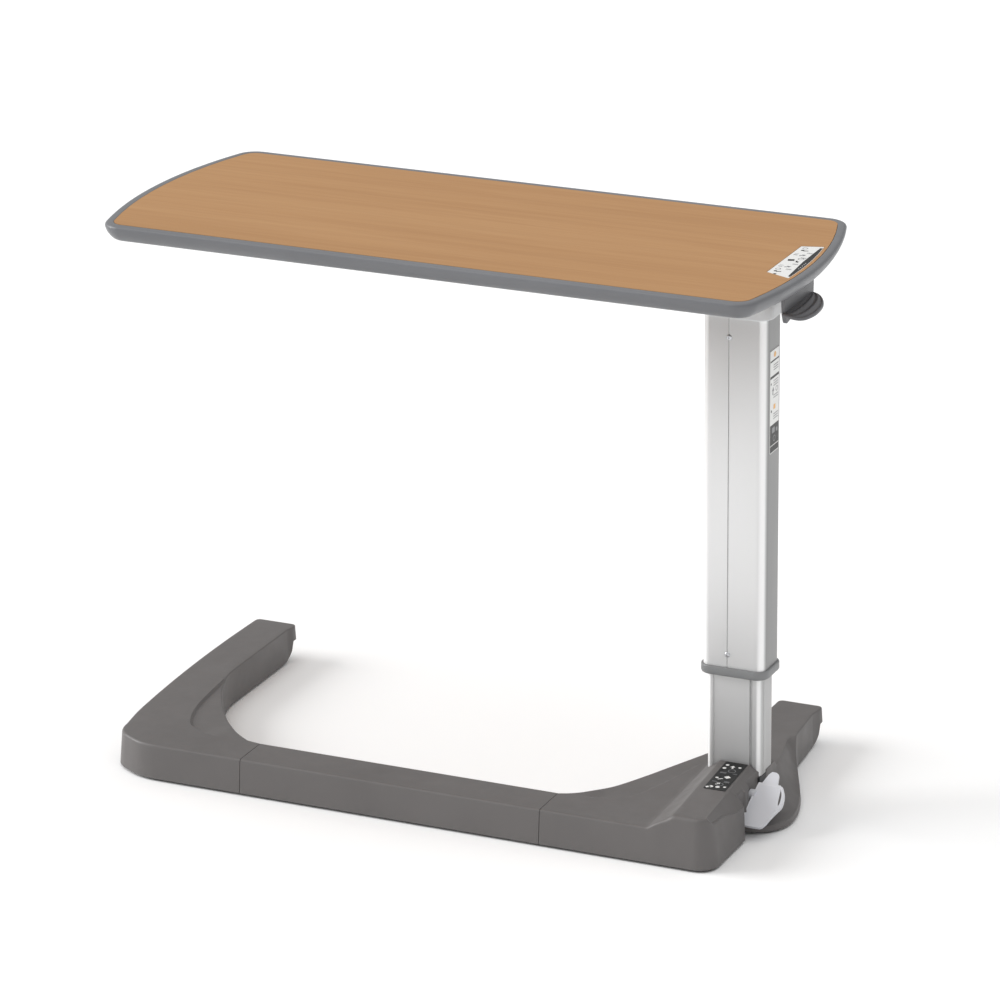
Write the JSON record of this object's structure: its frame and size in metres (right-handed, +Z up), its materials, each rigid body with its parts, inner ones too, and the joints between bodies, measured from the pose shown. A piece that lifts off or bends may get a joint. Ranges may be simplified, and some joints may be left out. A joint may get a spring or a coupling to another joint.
{
  "type": "overbed table",
  "caption": "Height-adjustable overbed table: wood-grain top with moulded edge on a telescopic column over a U-shaped rolling base, with squeeze lever and rocker brake pedal.",
  "frame": {"origin": "on the floor, under the middle of the outer box at the modelled height", "axes": "+X along the top towards the column side, +Y towards the open side of the U-shaped base, +Z up"},
  "size_m": [0.9, 0.458, 0.72],
  "materials": {
    "wood": "satin laminate",
    "edge_grey": "fine-grained moulded plastic",
    "base_grey": "fine-grained moulded plastic",
    "lever_grey": "matt",
    "collar_grey": "matt",
    "head_silver": "silver paint",
    "aluminium": "satin anodised",
    "steel": "zinc plated",
    "painted_steel": "black powder coat",
    "pedal_grey": "satin",
    "white_label": "printed film",
    "black_label": "printed film",
    "nylon": "moulded nylon",
    "tread": "moulded tread"
  },
  "bodies": {
    "base": {"cross_tube": "painted_steel", "left_leg_plate": "painted_steel", "right_leg_plate": "painted_steel", "left_base_cover": "base_grey", "centre_base_cover": "base_grey", "right_base_cover": "base_grey", "base_label": "black_label", "column_foot_plate": "painted_steel", "inner_column": "aluminium", "upper_guide_cap": "nylon", "gas_spring_cylinder": "painted_steel", "gas_spring_end_cap": "nylon", "foot_plate_screw_1": "steel", "foot_plate_screw_2": "steel", "foot_plate_screw_3": "steel", "foot_plate_screw_4": "steel"},
    "top": {"tabletop_panel": "wood", "tabletop_edge": "edge_grey", "tabletop_label": "white_label", "front_support_rail": "painted_steel", "rear_support_rail": "painted_steel", "mount_plate": "painted_steel", "head_bracket": "aluminium", "head_cover": "head_silver", "outer_column": "aluminium", "upper_column_screw": "steel", "lower_column_screw": "steel", "column_collar": "collar_grey", "lower_guide_bush": "nylon", "column_label": "white_label", "gas_spring_rod": "steel", "gas_spring_piston": "nylon", "lever_bracket": "painted_steel", "lever_pivot_pin": "steel", "head_bolt_1": "steel", "head_bolt_2": "steel", "head_bolt_3": "steel", "head_bolt_4": "steel"},
    "release_lever": {"release_lever": "lever_grey"},
    "release_pin": {"release_pin": "steel"},
    "brake_pedal": {"brake_pedal": "pedal_grey", "brake_shaft": "steel"},
    "brake_rod": {"brake_rod": "steel"},
    "front_left_caster": {"front_left_caster_hood": "nylon"},
    "front_left_wheels": {"front_left_caster_axle": "steel", "front_left_caster_left_wheel": "tread", "front_left_caster_right_wheel": "tread"},
    "rear_left_caster": {"rear_left_caster_hood": "nylon"},
    "rear_left_wheels": {"rear_left_caster_axle": "steel", "rear_left_caster_left_wheel": "tread", "rear_left_caster_right_wheel": "tread"},
    "front_right_caster": {"front_right_caster_hood": "nylon"},
    "front_right_wheels": {"front_right_caster_axle": "steel", "front_right_caster_left_wheel": "tread", "front_right_caster_right_wheel": "tread"},
    "rear_right_caster": {"rear_right_caster_hood": "nylon"},
    "rear_right_wheels": {"rear_right_caster_axle": "steel", "rear_right_caster_left_wheel": "tread", "rear_right_caster_right_wheel": "tread"}
  },
  "joints": [
    {"name": "table_lift", "type": "slide", "parent": "base", "child": "top", "axis": [0, 0, 1], "range_m": [-0.11, 0.14]},
    {"name": "release_lever_squeeze", "type": "hinge", "parent": "top", "child": "release_lever", "pos_m": [0.402, -0.013, 0.69], "axis": [0, -1, 0], "range_deg": [0, 6], "stiffness_Nm_per_rad": 1, "springref_deg": -8.59},
    {"name": "release_pin_press", "type": "slide", "parent": "top", "child": "release_pin", "axis": [0, 0, -1], "range_m": [0, 0.0065]},
    {"name": "brake_pedal_rock", "type": "hinge", "parent": "base", "child": "brake_pedal", "pos_m": [0.388, -0.062, 0.04], "axis": [1, 0, 0], "range_deg": [-40, 0]},
    {"name": "brake_rod_shift", "type": "slide", "parent": "base", "child": "brake_rod", "axis": [0, 1, 0], "range_m": [-0.0145, 0]},
    {"name": "front_left_caster_turn", "type": "hinge", "parent": "base", "child": "front_left_caster", "pos_m": [-0.394, -0.186, 0.0345], "axis": [0, 0, 1], "continuous": true},
    {"name": "front_left_wheel_roll", "type": "hinge", "parent": "front_left_caster", "child": "front_left_wheels", "pos_m": [-0.394, -0.194, 0.015], "axis": [1, 0, 0], "continuous": true},
    {"name": "rear_left_caster_turn", "type": "hinge", "parent": "base", "child": "rear_left_caster", "pos_m": [-0.4185, 0.184, 0.0345], "axis": [0, 0, 1], "continuous": true},
    {"name": "rear_left_wheel_roll", "type": "hinge", "parent": "rear_left_caster", "child": "rear_left_wheels", "pos_m": [-0.4185, 0.176, 0.015], "axis": [1, 0, 0], "continuous": true},
    {"name": "front_right_caster_turn", "type": "hinge", "parent": "base", "child": "front_right_caster", "pos_m": [0.362, -0.194, 0.0345], "axis": [0, 0, 1], "continuous": true},
    {"name": "front_right_wheel_roll", "type": "hinge", "parent": "front_right_caster", "child": "front_right_wheels", "pos_m": [0.362, -0.202, 0.015], "axis": [1, 0, 0], "continuous": true},
    {"name": "rear_right_caster_turn", "type": "hinge", "parent": "base", "child": "rear_right_caster", "pos_m": [0.3365, 0.184, 0.0345], "axis": [0, 0, 1], "continuous": true},
    {"name": "rear_right_wheel_roll", "type": "hinge", "parent": "rear_right_caster", "child": "rear_right_wheels", "pos_m": [0.3365, 0.176, 0.015], "axis": [1, 0, 0], "continuous": true}
  ],
  "couplings": [
    {"joint": "release_pin_press", "follows": "release_lever_squeeze", "m_per_rad": 0.054},
    {"joint": "brake_rod_shift", "follows": "brake_pedal_rock", "m_per_rad": 0.0185}
  ]
}
